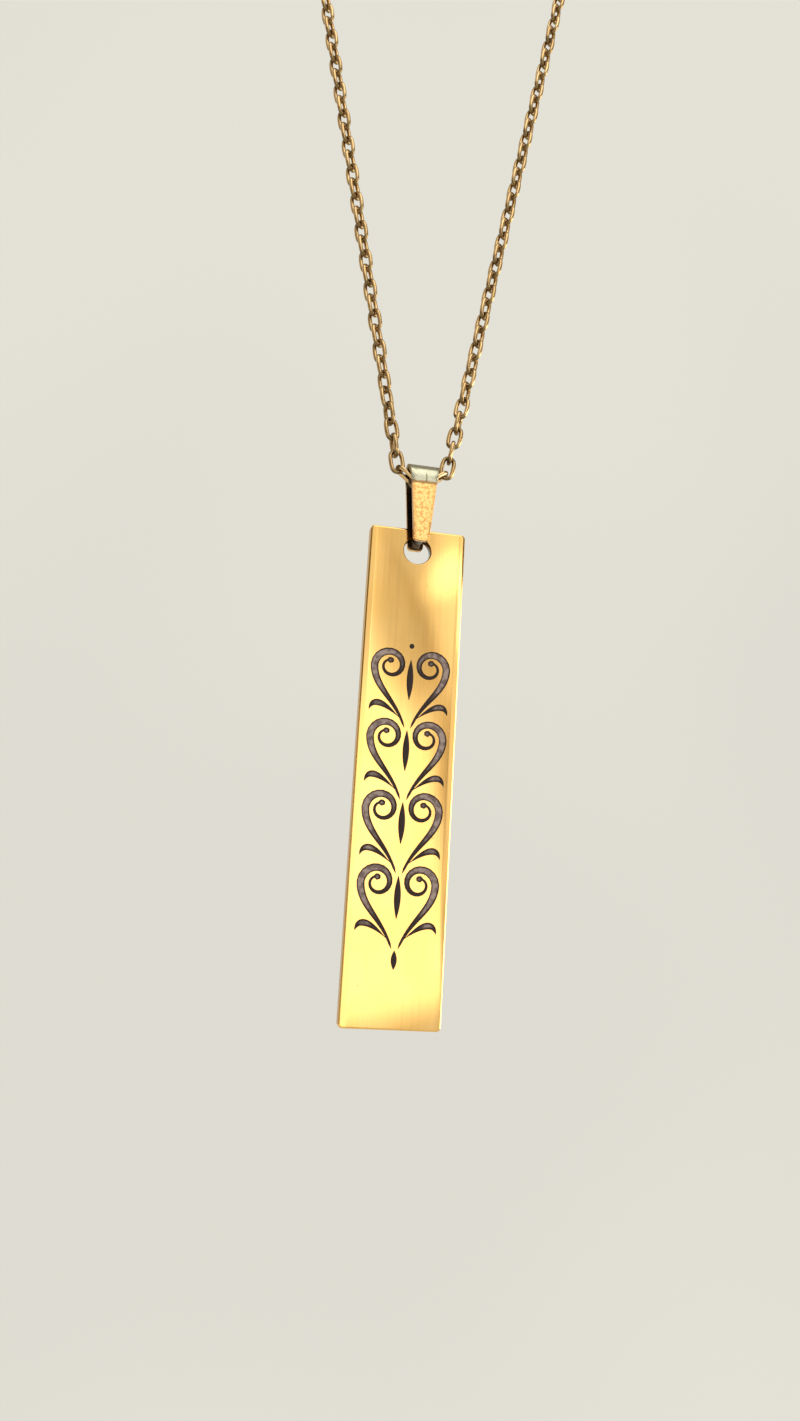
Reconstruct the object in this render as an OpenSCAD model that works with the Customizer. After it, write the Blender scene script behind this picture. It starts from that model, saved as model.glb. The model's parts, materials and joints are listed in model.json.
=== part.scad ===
// Bar nameplate necklace: a flat bar on a folded pinch bail, on a fine oval-link cable chain.
// Millimetres, +Z up, the front of the bar faces -Y. The origin is the nape, the top of the loop,
// where the necklace hangs. The pendant hangs plumb and the loop's plane leans back above it.

/* [Nameplate] */
// Width of the bar
plate_w = 10; // [7:0.5:16]
// Length of the bar
plate_l = 50; // [30:1:70]
// Thickness of the bar
plate_t = 1.2; // [0.8:0.1:1.6]
// Radius of the bar's four corners
plate_corner_r = 0.45; // [0.2:0.05:1.5]
// Diameter of the hanging hole
hole_d = 2.8; // [2.4:0.1:4]
// Wall between the hole and the bar's top edge
hole_wall = 0.9; // [0.6:0.1:1.4]

/* [Bail] */
// Width of the bail's strip across its fold
bail_fold_w = 3.3; // [2.8:0.1:3.6]
// Width of a leg where it leaves the fold
bail_shoulder_w = 2.65; // [1.8:0.05:2.75]
// Width of a leg at its tip
bail_tip_w = 1.65; // [1.2:0.05:1.75]
// Thickness of the strip
bail_strip_t = 0.5; // [0.3:0.05:0.8]
// Clear gap between the two legs
bail_gap = 2.8; // [2.6:0.1:4]
// Distance from the fold's centre down to the prongs
bail_drop = 6.35; // [5.8:0.05:10]
// Diameter of the two prongs that pinch through the bar's hole
prong_d = 0.8; // [0.6:0.05:1]
// Gap between the tips of the two prongs
prong_tip_gap = 0.3; // [0.1:0.05:0.4]
// Metal left round a prong at the tip of its leg
tip_wall = 0.05; // [0.05:0.05:0.3]
// Radius of a leg's two lower corners
tip_corner_r = 0.4; // [0.2:0.05:0.5]

/* [Chain] */
// Length round the whole loop, clasp included
loop_length = 450; // [380:5:460]
// Distance from one link to the next along the taut chain
link_pitch = 1.885; // [1.8:0.005:2.2]
// Width across one link
link_w = 1.65; // [1.5:0.05:1.8]
// Diameter of a link's wire
wire_d = 0.4; // [0.3:0.01:0.4]
// Twist of each strand, from square at the bail to this angle
strand_twist = 45; // [0:1:90]
// Number of links over which a strand takes up its twist
twist_links = 6; // [6:1:60]

/* [Hang] */
// Half of the angle between the two strands
v_half_angle = 10.5; // [6:0.5:25]
// Slope of the link that rises out of either side of the bail
shoulder_slope = 37; // [25:1:45]
// Angle by which the loop's plane leans back from plumb
loop_lean = 5.7; // [0:0.1:15]

/* [Clasp] */
// Outer diameter of the clasp's ring
ring_d = 5.5; // [4:0.1:8]
// Outer diameter of the eye on the clasp's other side
eye_d = 2.4; // [2.2:0.1:3.5]
// Diameter of the clasp's wire
clasp_wire_d = 0.6; // [0.4:0.05:0.6]
// Length of the neck that joins the ring and the eye, from wire to wire
neck_l = 1.2; // [0.8:0.1:2]
// Diameter of the neck
neck_d = 0.5; // [0.3:0.05:0.55]

/* [Clearances] */
// Clear space between one link and the next
link_clear = 0.11; // [0.11:0.01:0.2]
// Clear space between the chain and the bail that rides on it
ride_clear = 0.12; // [0.1:0.01:0.3]
// Running gap between a prong and the top of the bar's hole
prong_clear = 0.05; // [0.03:0.01:0.15]
// Clear space between the bar's back and the bail's back leg
leg_clear = 0.2; // [0.1:0.05:0.4]

/* [Hidden] */
$fn = 48;
half_turn = 180;
quarter_turn = 90;
gold = [0.86, 0.68, 0.32];
bright_gold = [0.98, 0.84, 0.40];
dull_gold = [0.66, 0.53, 0.32];
// How far a cutting solid runs past what it cuts
over = 1;

// One link, an oval of round wire
link_inner_l = link_pitch + link_clear;
link_bend_r = (link_w - wire_d) / 2;
link_straight_l = link_inner_l + wire_d - 2 * link_bend_r;
link_half_l = (link_inner_l + wire_d) / 2;

// How far a link's wire lies inside the end of its neighbour
nest = wire_d + link_clear;

// The lowest links: one stands on edge in the bail, and one slopes up out of either side of it
strand_slope = quarter_turn - v_half_angle;
mid_reach = link_half_l - nest;
strand_foot = [mid_reach + 2 * link_half_l * cos(shoulder_slope), 2 * link_half_l * sin(shoulder_slope)];

// The clasp: a ring and an eye on one neck, with a link of the chain in each
ring_r = (ring_d - clasp_wire_d) / 2;
eye_r = (eye_d - clasp_wire_d) / 2;
clasp_span = 2 * (ring_r + eye_r) + neck_l;
neck_x = clasp_span / 2 - 2 * eye_r - neck_l;
clasp_reach = link_inner_l / 2 - link_clear - clasp_wire_d / 2;

// Links in each strand above the sloping one, and the length that they take up to the clasp
free_l = (loop_length - clasp_span) / 2 - 2 * mid_reach - 2 * link_half_l - clasp_reach;
strand_links = round(free_l / link_pitch) + 1;
strand_l = mid_reach + (strand_links - 1) * link_pitch + clasp_reach;

// Each strand is straight, then goes round the top arc to the clasp
arc_turn = quarter_turn + v_half_angle;
arc_share = arc_turn * PI / half_turn;
arc_offset = (strand_foot[0] - clasp_span / 2) / cos(v_half_angle);
straight_l = (strand_l - arc_offset * arc_share) / (1 + tan(v_half_angle) * arc_share);
arc_r = arc_offset + straight_l * tan(v_half_angle);
arc_x = clasp_span / 2;
arc_z = strand_foot[1] + straight_l * cos(v_half_angle) + arc_r * sin(v_half_angle);
loop_h = arc_z + arc_r;

// Height of the lowest link over the fold's centre: that link stays under the fold, and the side
// wires of the sloping links stay inside the fold's curve at its two edges
fold_r = bail_gap / 2;
edge_rise = (bail_fold_w / 2 - mid_reach) * tan(shoulder_slope);
wire_reach = fold_r - ride_clear - wire_d / 2 / cos(shoulder_slope);
slope_limit = sqrt(wire_reach ^ 2 - link_bend_r ^ 2) - edge_rise;
level_limit = fold_r - ride_clear - link_w / 2;
chain_rise = min(slope_limit, level_limit);

// Places in the pendant, which hangs plumb below the lowest link
chain_foot = [0, -loop_h * sin(loop_lean), -loop_h * cos(loop_lean)];
fold_place = chain_foot - [0, 0, chain_rise];
prong_place = fold_place - [0, 0, bail_drop];
hole_sag = (hole_d - prong_d) / 2 - prong_clear;
plate_top = prong_place[2] - hole_sag + hole_d / 2 + hole_wall;
plate_back = fold_place[1] + fold_r - leg_clear;

// A cylinder along Y from y = 0
module rod_y(d, l) {
    rotate([-quarter_turn, 0, 0]) cylinder(d = d, h = l);
}

// The bar: a plate with round corners and one hole near its top edge
module plate() {
    inner_w = plate_w / 2 - plate_corner_r;
    color(bright_gold)
    translate([0, plate_back - plate_t, plate_top - plate_l / 2])
    difference() {
        union() {
            translate([-plate_w / 2, 0, plate_corner_r - plate_l / 2])
            cube([plate_w, plate_t, plate_l - 2 * plate_corner_r]);
            translate([-inner_w, 0, -plate_l / 2])
            cube([2 * inner_w, plate_t, plate_l]);
            for (side = [-1, 1], end = [-1, 1])
                translate([side * inner_w, 0, end * (plate_l / 2 - plate_corner_r)])
                rod_y(2 * plate_corner_r, plate_t);
        }
        translate([0, -over, plate_l / 2 - hole_wall - hole_d / 2])
        rod_y(hole_d, plate_t + 2 * over);
    }
}

// Outline of the folded strip seen from the front, with z = 0 at the fold's centre
module bail_outline() {
    fold_top = fold_r + bail_strip_t;
    tip_z = -bail_drop - prong_d / 2 - tip_wall;
    tip_x = bail_tip_w / 2;
    tip_r = min(tip_corner_r, tip_x);
    polygon([
        [-bail_fold_w / 2, fold_top],
        [-bail_shoulder_w / 2, 0],
        [-tip_x, tip_z + tip_r],
        [tip_x, tip_z + tip_r],
        [bail_shoulder_w / 2, 0],
        [bail_fold_w / 2, fold_top],
    ]);
    translate([tip_r - tip_x, tip_z]) square([2 * (tip_x - tip_r), 2 * tip_r]);
    for (side = [-1, 1])
        translate([side * (tip_x - tip_r), tip_z + tip_r]) circle(r = tip_r);
}

// The strip seen from the side: a half ring over two straight legs
module bail_profile() {
    leg_l = bail_drop + prong_d / 2 + tip_wall;
    difference() {
        rotate([0, quarter_turn, 0])
        cylinder(r = fold_r + bail_strip_t, h = bail_fold_w, center = true);
        rotate([0, quarter_turn, 0])
        cylinder(r = fold_r, h = bail_fold_w + 2 * over, center = true);
        translate([-bail_fold_w, -bail_gap - bail_strip_t, -2 * fold_r - bail_strip_t])
        cube([2 * bail_fold_w, 2 * (bail_gap + bail_strip_t), 2 * fold_r + bail_strip_t]);
    }
    for (side = [-1, 1])
        translate([-bail_fold_w / 2, side * (fold_r + bail_strip_t / 2) - bail_strip_t / 2, -leg_l])
        cube([bail_fold_w, bail_strip_t, leg_l]);
}

// The bail: the folded strip cut to its taper, with a prong on the inside of each leg
module bail() {
    span = bail_gap + 2 * bail_strip_t;
    prong_l = (bail_gap - prong_tip_gap) / 2;
    color(gold)
    translate(fold_place) {
        intersection() {
            bail_profile();
            translate([0, span / 2 + over, 0])
            rotate([quarter_turn, 0, 0])
            linear_extrude(height = span + 2 * over) bail_outline();
        }
        for (back = [0, 1])
            rotate([0, 0, back * half_turn])
            translate([0, -fold_r - bail_strip_t / 2, -bail_drop])
            rod_y(prong_d, prong_l + bail_strip_t / 2);
    }
}

// Half of a round wire ring, open towards -X
module half_ring(r, wire) {
    rotate([0, 0, -quarter_turn])
    rotate_extrude(angle = half_turn) translate([r, 0]) circle(d = wire);
}

// One link, long in X and flat in Z
module link() {
    for (end = [0, 1])
        rotate([0, 0, end * half_turn])
        translate([link_straight_l / 2, 0, 0]) half_ring(link_bend_r, wire_d);
    for (side = [-1, 1])
        translate([-link_straight_l / 2, side * link_bend_r, 0])
        rotate([0, quarter_turn, 0]) cylinder(d = wire_d, h = link_straight_l);
}

// Roll of a link about the chain: every second one stands square to its neighbours, and the twist
// grows from the first link of the strand
function link_roll(number, twist) =
    (number + 1) % 2 * quarter_turn - twist * min(max(number - 2, 0) / twist_links, 1);

// A link in the loop's plane, with its centre at p and rising at slope
module placed_link(p, slope, roll) {
    translate([p[0], 0, p[1]]) rotate([0, -slope, 0]) rotate([roll, 0, 0]) link();
}

// Place and slope of the strand at the length s above its foot
function on_strand(s) =
    s < straight_l
    ? [strand_foot[0] + s * sin(v_half_angle), strand_foot[1] + s * cos(v_half_angle), strand_slope]
    : on_arc((s - straight_l) / arc_r * half_turn / PI - v_half_angle);

// Place and slope at an angle round the top arc, which is 0 where the arc is widest
function on_arc(angle) = [arc_x + arc_r * cos(angle), arc_z + arc_r * sin(angle), quarter_turn + angle];

// The loop's plane: its lowest link is at the foot of the chain, and its top is the origin
module in_loop_plane() {
    translate(chain_foot) rotate([-loop_lean, 0, 0]) children();
}

// One strand of links, from the one that slopes out of the bail up to the clasp
module strand(twist) {
    slope_place = (strand_foot + [mid_reach, 0]) / 2;
    placed_link(slope_place, shoulder_slope, link_roll(1, twist));
    for (i = [1 : strand_links]) {
        at = on_strand(mid_reach + (i - 1) * link_pitch);
        placed_link([at[0], at[1]], at[2], link_roll(i + 1, twist));
    }
}

// The left strand mirrors the right one, but twists the same way
module chain_left() {
    color(dull_gold) in_loop_plane() mirror([1, 0, 0]) strand(-strand_twist);
}

// The right strand, with the link that lies in the bail
module chain_right() {
    color(dull_gold)
    in_loop_plane() {
        placed_link([0, 0], 0, link_roll(0, 0));
        strand(strand_twist);
    }
}

// A whole ring of the clasp's wire
module wire_ring(r) {
    rotate_extrude() translate([r, 0]) circle(d = clasp_wire_d);
}

// The clasp at the nape: one plain piece, its ring and its eye each square to the link it holds
module clasp() {
    last = strand_links + 1;
    color(gold)
    in_loop_plane()
    translate([0, 0, loop_h]) {
        rotate([quarter_turn - link_roll(last, -strand_twist), 0, 0])
        translate([ring_r - clasp_span / 2, 0, 0]) wire_ring(ring_r);
        rotate([quarter_turn - link_roll(last, strand_twist), 0, 0])
        translate([clasp_span / 2 - eye_r, 0, 0]) wire_ring(eye_r);
        translate([neck_x, 0, 0]) rotate([0, quarter_turn, 0]) cylinder(d = neck_d, h = neck_l);
    }
}

plate();
bail();
chain_left();
chain_right();
clasp();
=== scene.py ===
"""Looks of a bar nameplate necklace: a polished bar on a pinch bail, on a fine oval-link cable chain.

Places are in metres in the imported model's frame: +Z up, the bar's front faces -Y, and the origin is the
nape, at the top of the loop. The sizes of the pieces are in millimetres and are scaled by MM. A Band holds
where a pattern starts to change and where the change is done.
"""

import json
import logging
import math
import random
from collections.abc import Iterator
from dataclasses import dataclass, field
from enum import Enum

import bmesh
import bpy
from mathutils import Matrix, Vector


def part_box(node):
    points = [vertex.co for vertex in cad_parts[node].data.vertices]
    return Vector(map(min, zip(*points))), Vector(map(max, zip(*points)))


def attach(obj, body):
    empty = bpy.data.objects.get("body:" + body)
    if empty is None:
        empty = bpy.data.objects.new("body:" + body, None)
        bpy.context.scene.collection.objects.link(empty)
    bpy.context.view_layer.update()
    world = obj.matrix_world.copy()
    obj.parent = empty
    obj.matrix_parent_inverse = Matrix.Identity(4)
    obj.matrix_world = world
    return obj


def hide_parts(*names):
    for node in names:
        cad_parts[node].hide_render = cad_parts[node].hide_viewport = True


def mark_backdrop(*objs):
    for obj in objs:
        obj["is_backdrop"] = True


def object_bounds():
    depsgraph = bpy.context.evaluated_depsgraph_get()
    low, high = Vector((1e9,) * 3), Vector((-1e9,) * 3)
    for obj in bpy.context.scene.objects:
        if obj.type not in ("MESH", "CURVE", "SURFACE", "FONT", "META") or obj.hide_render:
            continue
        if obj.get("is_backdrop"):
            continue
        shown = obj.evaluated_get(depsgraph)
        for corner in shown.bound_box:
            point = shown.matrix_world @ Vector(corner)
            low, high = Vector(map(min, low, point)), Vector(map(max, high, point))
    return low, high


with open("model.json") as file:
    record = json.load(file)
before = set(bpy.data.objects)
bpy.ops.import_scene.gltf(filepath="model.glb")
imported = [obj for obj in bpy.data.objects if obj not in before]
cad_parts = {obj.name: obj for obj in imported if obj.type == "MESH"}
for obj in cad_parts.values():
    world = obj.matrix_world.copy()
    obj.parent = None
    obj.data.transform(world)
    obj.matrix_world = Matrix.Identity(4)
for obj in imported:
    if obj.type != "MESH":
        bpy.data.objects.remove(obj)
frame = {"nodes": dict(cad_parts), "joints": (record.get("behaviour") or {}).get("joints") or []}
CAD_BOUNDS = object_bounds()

MM = 0.001
HALF_TURN = math.pi
QUARTER_TURN = math.pi / 2
LOG = logging.getLogger("necklace")

Pair = tuple[float, float]
Triple = tuple[float, float, float]
Band = Pair
Colour = Triple
Stroke = list[Triple]
Edges = list[bmesh.types.BMEdge]


class Slot(Enum):
    """The record's material slots."""

    POLISHED = "polished_gold"
    BAIL = "bail_gold"
    CHAIN = "chain_gold"


class Side(Enum):
    """A side of the necklace, as the sign of its X."""

    LEFT = -1
    RIGHT = 1


class Carving(Enum):
    """What a tool does to the piece that it meets."""

    CUT = "DIFFERENCE"
    JOIN = "UNION"


class Value:
    """A number on a shader socket. Arithmetic on it adds the Math nodes that work it out."""

    def __init__(self, graph: "Graph", socket: bpy.types.NodeSocket) -> None:
        """Keep the output that holds the number and the graph that new nodes go into."""
        self.graph = graph
        self.socket = socket

    def _math(self, operation: str, *values: "Value | float") -> "Value":
        """Return the result of a new Math node that works on the values."""
        node = self.graph.node("ShaderNodeMath", {"operation": operation}, dict(enumerate(values)))
        return Value(self.graph, node.outputs[0])

    def __add__(self, other: "Value | float") -> "Value":
        """Return self + other."""
        return self._math("ADD", self, other)

    def __radd__(self, other: float) -> "Value":
        """Return other + self."""
        return self._math("ADD", other, self)

    def __sub__(self, other: "Value | float") -> "Value":
        """Return self - other."""
        return self._math("SUBTRACT", self, other)

    def __rsub__(self, other: float) -> "Value":
        """Return other - self."""
        return self._math("SUBTRACT", other, self)

    def __mul__(self, other: "Value | float") -> "Value":
        """Return self times other."""
        return self._math("MULTIPLY", self, other)

    def __rmul__(self, other: float) -> "Value":
        """Return other times self."""
        return self._math("MULTIPLY", other, self)

    def __abs__(self) -> "Value":
        """Return the number without its sign."""
        return self._math("ABSOLUTE", self)

    def squared(self) -> "Value":
        """Return self times self."""
        return self * self

    def at_least(self, least: float) -> "Value":
        """Return the number, or the least that it may be."""
        return self._math("MAXIMUM", self, least)

    def rise(self, low: float, high: float) -> "Value":
        """Return a smooth step that is 0 below low and 1 above high."""
        settings = {"interpolation_type": "SMOOTHSTEP"}
        node = self.graph.node("ShaderNodeMapRange", settings, {0: self, 1: low, 2: high})
        return Value(self.graph, node.outputs[0])

    def fall(self, low: float, high: float) -> "Value":
        """Return a smooth step that is 1 below low and 0 above high."""
        return 1.0 - self.rise(low, high)


@dataclass
class Graph:
    """A node tree that is filled from Python."""

    tree: bpy.types.NodeTree

    def node(self, kind: str, settings: dict | None = None, inputs: dict | None = None) -> bpy.types.Node:
        """Add a node, give it its settings, then feed its sockets.

        Args:
            kind: The node's type.
            settings: The node's own properties.
            inputs: Numbers, colours or links for its sockets, by name or index.

        Returns:
            The new node.
        """
        made = self.tree.nodes.new(kind)
        for name, value in (settings or {}).items():
            setattr(made, name, value)
        self.fill(made, inputs or {})
        return made

    def fill(self, node: bpy.types.Node, inputs: dict) -> None:
        """Feed a node's sockets, which are given by name or index."""
        for name, value in inputs.items():
            self.feed(node.inputs[name], value)

    def feed(self, socket: bpy.types.NodeSocket, value: object) -> None:
        """Link a socket to another one, or set its own value.

        Args:
            socket: The input to feed.
            value: A Value, an output socket, a number or a tuple of numbers.
        """
        if isinstance(value, Value):
            value = value.socket
        if isinstance(value, bpy.types.NodeSocket):
            self.tree.links.new(value, socket)
            return
        if socket.type == "RGBA":
            value = (*value[:3], 1.0)
        socket.default_value = value

    def place(self, origin: Vector, stretch: Triple = (1.0, 1.0, 1.0)) -> bpy.types.NodeSocket:
        """Object coordinates measured from a place on the piece, in millimetres.

        Args:
            origin: Where the pattern's zero is, in metres.
            stretch: How many times longer the pattern's features are along each axis.

        Returns:
            The vector's socket.
        """
        coords = self.node("ShaderNodeTexCoord").outputs["Object"]
        start = self.node("ShaderNodeVectorMath", {"operation": "SUBTRACT"}, {0: coords, 1: tuple(origin)})
        scale = tuple(1 / MM / length for length in stretch)
        return self.node("ShaderNodeMapping", {}, {"Vector": start.outputs[0], "Scale": scale}).outputs[0]

    def axes(self, vector: bpy.types.NodeSocket) -> list[Value]:
        """Return a vector's x, y and z."""
        node = self.node("ShaderNodeSeparateXYZ", {}, {0: vector})
        return [Value(self, socket) for socket in node.outputs]

    def noise(self, vector: bpy.types.NodeSocket, scale: float, detail: float = 2.0) -> Value:
        """Return a noise of about 0 to 1, with features of about 1 / scale."""
        inputs = {"Vector": vector, "Scale": scale, "Detail": detail}
        return Value(self, self.node("ShaderNodeTexNoise", {}, inputs).outputs[0])

    def specks(self, vector: bpy.types.NodeSocket, scale: float, size: float) -> Value:
        """Return a mask of round specks, with a scale of cells and a radius as a share of a cell."""
        node = self.node("ShaderNodeTexVoronoi", {}, {"Vector": vector, "Scale": scale})
        return Value(self, node.outputs["Distance"]).fall(size / 2, size)

    def attribute(self, name: str) -> Value:
        """Return a number that the mesh holds at each of its points."""
        return Value(self, self.node("ShaderNodeAttribute", {"attribute_name": name}).outputs["Fac"])

    def colour(self, share: "Value | float", first: object, second: object) -> bpy.types.NodeSocket:
        """Return the first colour with a share of the second mixed in. A colour is numbers or a socket."""
        node = self.node("ShaderNodeMix", {"data_type": "RGBA"}, {0: share, 6: first, 7: second})
        return node.outputs[2]

    def scaled(self, tone: bpy.types.NodeSocket, level: Value) -> bpy.types.NodeSocket:
        """Return a colour made brighter or dimmer."""
        inputs = {0: tone, "Scale": level}
        return self.node("ShaderNodeVectorMath", {"operation": "SCALE"}, inputs).outputs[0]

    def bump(self, height: Value, depth: float, under: object = None) -> bpy.types.NodeSocket:
        """Turn a height pattern into a normal.

        Args:
            height: The pattern, 0 to 1.
            depth: Its depth in metres.
            under: The normal that it builds on, if any.

        Returns:
            The normal's socket.
        """
        inputs = {"Height": height, "Distance": depth, "Strength": 1.0}
        if under is not None:
            inputs["Normal"] = under
        return self.node("ShaderNodeBump", {}, inputs).outputs[0]


@dataclass(frozen=True)
class Metal:
    """A metal finish. Its patterns are measured from a place on the piece, in millimetres.

    A share says how much of a colour a pattern brings, and a rough number how much roughness.
    """

    name: str
    origin: Vector

    def start(self, metallic: float = 1.0) -> tuple[bpy.types.Material, Graph, bpy.types.Node]:
        """Make the material with its Principled shader.

        Args:
            metallic: How far the surface is bare metal.

        Returns:
            The material, its graph and its shader.
        """
        material = bpy.data.materials.new(self.name)
        material.use_nodes = True
        shader = material.node_tree.nodes["Principled BSDF"]
        shader.inputs["Metallic"].default_value = metallic
        return material, Graph(material.node_tree), shader


@dataclass(frozen=True)
class PolishedGold(Metal):
    """Mirror-polished gold plating with faint brushing along the bar, haze, specks and scratches.

    The long edges roll off over the crown's width. A scratch is its x, z, half length and tilt.
    """

    warm: Colour = (0.960, 0.575, 0.172)
    pale: Colour = (0.970, 0.610, 0.208)
    pale_band: Band = (0.35, 0.7)
    cloud_scale: float = 0.16
    dull: Colour = (0.620, 0.370, 0.120)
    streak_stretch: Triple = (0.32, 1.0, 11.0)
    streak_band: Band = (0.45, 0.7)
    streak_share: float = 0.16
    speck: Colour = (1.0, 0.86, 0.62)
    speck_scale: float = 1.1
    speck_size: float = 0.05
    speck_share: float = 0.5
    # Painted shade for the wall of the hanging hole.
    shade_and_tarnish: Colour = (0.110, 0.068, 0.032)
    hole: Pair = (22.7, 1.4)
    hole_band: Band = (0.02, 0.06)
    front_band: Band = (0.02, 0.06)
    scratches: tuple[tuple[float, float, float, float], ...] = (
        (2.9, -6.6, 0.55, 0.04), (-3.3, -21.0, 0.16, -0.6), (-1.9, 16.5, 0.3, 1.2), (1.2, 19.0, 0.22, -1.0))
    scratch_taper: float = 0.4
    scratch_w: Band = (0.015, 0.07)
    scratch_share: float = 0.75
    roughness: float = 0.032
    haze: float = 0.04
    mark_rough: float = 0.2
    brush_stretch: Triple = (0.09, 0.3, 9.0)
    brush_detail: float = 3.0
    brush_rough: float = 0.03
    brush_depth: float = 0.0003 * MM
    wave_scale: float = 0.11
    wave_depth: float = 0.008 * MM
    half_width: float = 5.0
    side_edge: float = 0.02
    side_rough: float = 0.25
    crown_w: float = 0.75
    crown_depth: float = 0.052 * MM

    def material(self) -> bpy.types.Material:
        """Return the finish as a material."""
        material, graph, shader = self.start()
        face = graph.place(self.origin)
        across, depth, along = graph.axes(face)
        brushing = graph.noise(graph.place(self.origin, self.brush_stretch), 1.0, self.brush_detail)
        streaks = graph.noise(graph.place(self.origin, self.streak_stretch), 1.0, self.brush_detail)
        cloud = graph.noise(face, self.cloud_scale)
        specks = graph.specks(face, self.speck_scale, self.speck_size)
        marks = self.marks(across, along) * depth.fall(*self.front_band)
        # Painted shade: the bar's side faces take the dull tone, as well as their higher roughness.
        side_shade = abs(across).rise(self.half_width - self.side_edge, self.half_width)
        # Painted shade: the wall of the hanging hole is coloured dark.
        hole_z, hole_r = self.hole
        hole_edge = [(hole_r + past) ** 2 for past in self.hole_band]
        bore_shade = (across.squared() + (along - hole_z).squared()).fall(*hole_edge)
        tone = graph.colour(cloud.rise(*self.pale_band), self.warm, self.pale)
        tone = graph.colour(streaks.rise(*self.streak_band) * self.streak_share, tone, self.dull)
        tone = graph.colour(specks * self.speck_share, tone, self.speck)
        tone = graph.colour(marks * self.scratch_share, tone, self.dull)
        # Painted shade on the bar's side faces.
        tone = graph.colour(side_shade, tone, self.dull)
        tone = graph.colour(bore_shade, tone, self.shade_and_tarnish)
        rough = self.roughness + cloud * self.haze + brushing * self.brush_rough
        rough = rough + (specks + marks) * self.mark_rough + side_shade * self.side_rough
        wave = graph.bump(graph.noise(face, self.wave_scale, 1.0), self.wave_depth)
        outwards = ((abs(across) - (self.half_width - self.crown_w)) * (1 / self.crown_w)).at_least(0.0)
        crown = graph.bump(1.0 - outwards.squared(), self.crown_depth, wave)
        normal = graph.bump(brushing, self.brush_depth, crown)
        graph.fill(shader, {"Base Color": tone, "Roughness": rough, "Normal": normal})
        return material

    def marks(self, across: Value, along: Value) -> Value:
        """The short scratches on the face.

        Args:
            across: Millimetres across the bar from its centre.
            along: Millimetres along it.

        Returns:
            A mask that is 1 on a scratch.
        """
        lines = []
        for x, z, half, tilt in self.scratches:
            run = (across - x) * math.cos(tilt) + (along - z) * math.sin(tilt)
            off = (along - z) * math.cos(tilt) - (across - x) * math.sin(tilt)
            lines.append(abs(run).fall(half * self.scratch_taper, half) * abs(off).fall(*self.scratch_w))
        return sum(lines)


@dataclass(frozen=True)
class BurntEngraving(Metal):
    """The inside of a burnt line: a mottled grey-brown floor within a dark scorched edge."""

    depth: float = 0.05
    edge: Colour = (0.026, 0.013, 0.009)
    edge_band: Band = (0.5, 0.78)
    floor: Colour = (0.350, 0.268, 0.235)
    soot: Colour = (0.145, 0.102, 0.088)
    mottle_scale: float = 1.5
    mottle_detail: float = 6.0
    mottle_band: Band = (0.38, 0.62)
    glint: Colour = (0.460, 0.380, 0.330)
    glint_band: Band = (0.62, 0.75)
    glint_share: float = 0.5
    grain_scale: float = 9.0
    grain_depth: float = 0.006 * MM
    metallic: float = 0.5
    roughness: float = 0.45
    mottle_rough: float = 0.2

    def material(self) -> bpy.types.Material:
        """Return the finish as a material."""
        material, graph, shader = self.start(self.metallic)
        face = graph.place(self.origin)
        deep = graph.axes(face)[1].rise(*(share * self.depth for share in self.edge_band))
        mottle = graph.noise(face, self.mottle_scale, self.mottle_detail)
        grain = graph.noise(face, self.grain_scale)
        floor = graph.colour(mottle.rise(*self.mottle_band), self.soot, self.floor)
        floor = graph.colour(grain.rise(*self.glint_band) * self.glint_share, floor, self.glint)
        graph.fill(shader, {"Base Color": graph.colour(deep, self.edge, floor),
                            "Roughness": self.roughness + mottle * self.mottle_rough,
                            "Normal": graph.bump(grain, self.grain_depth)})
        return material


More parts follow.
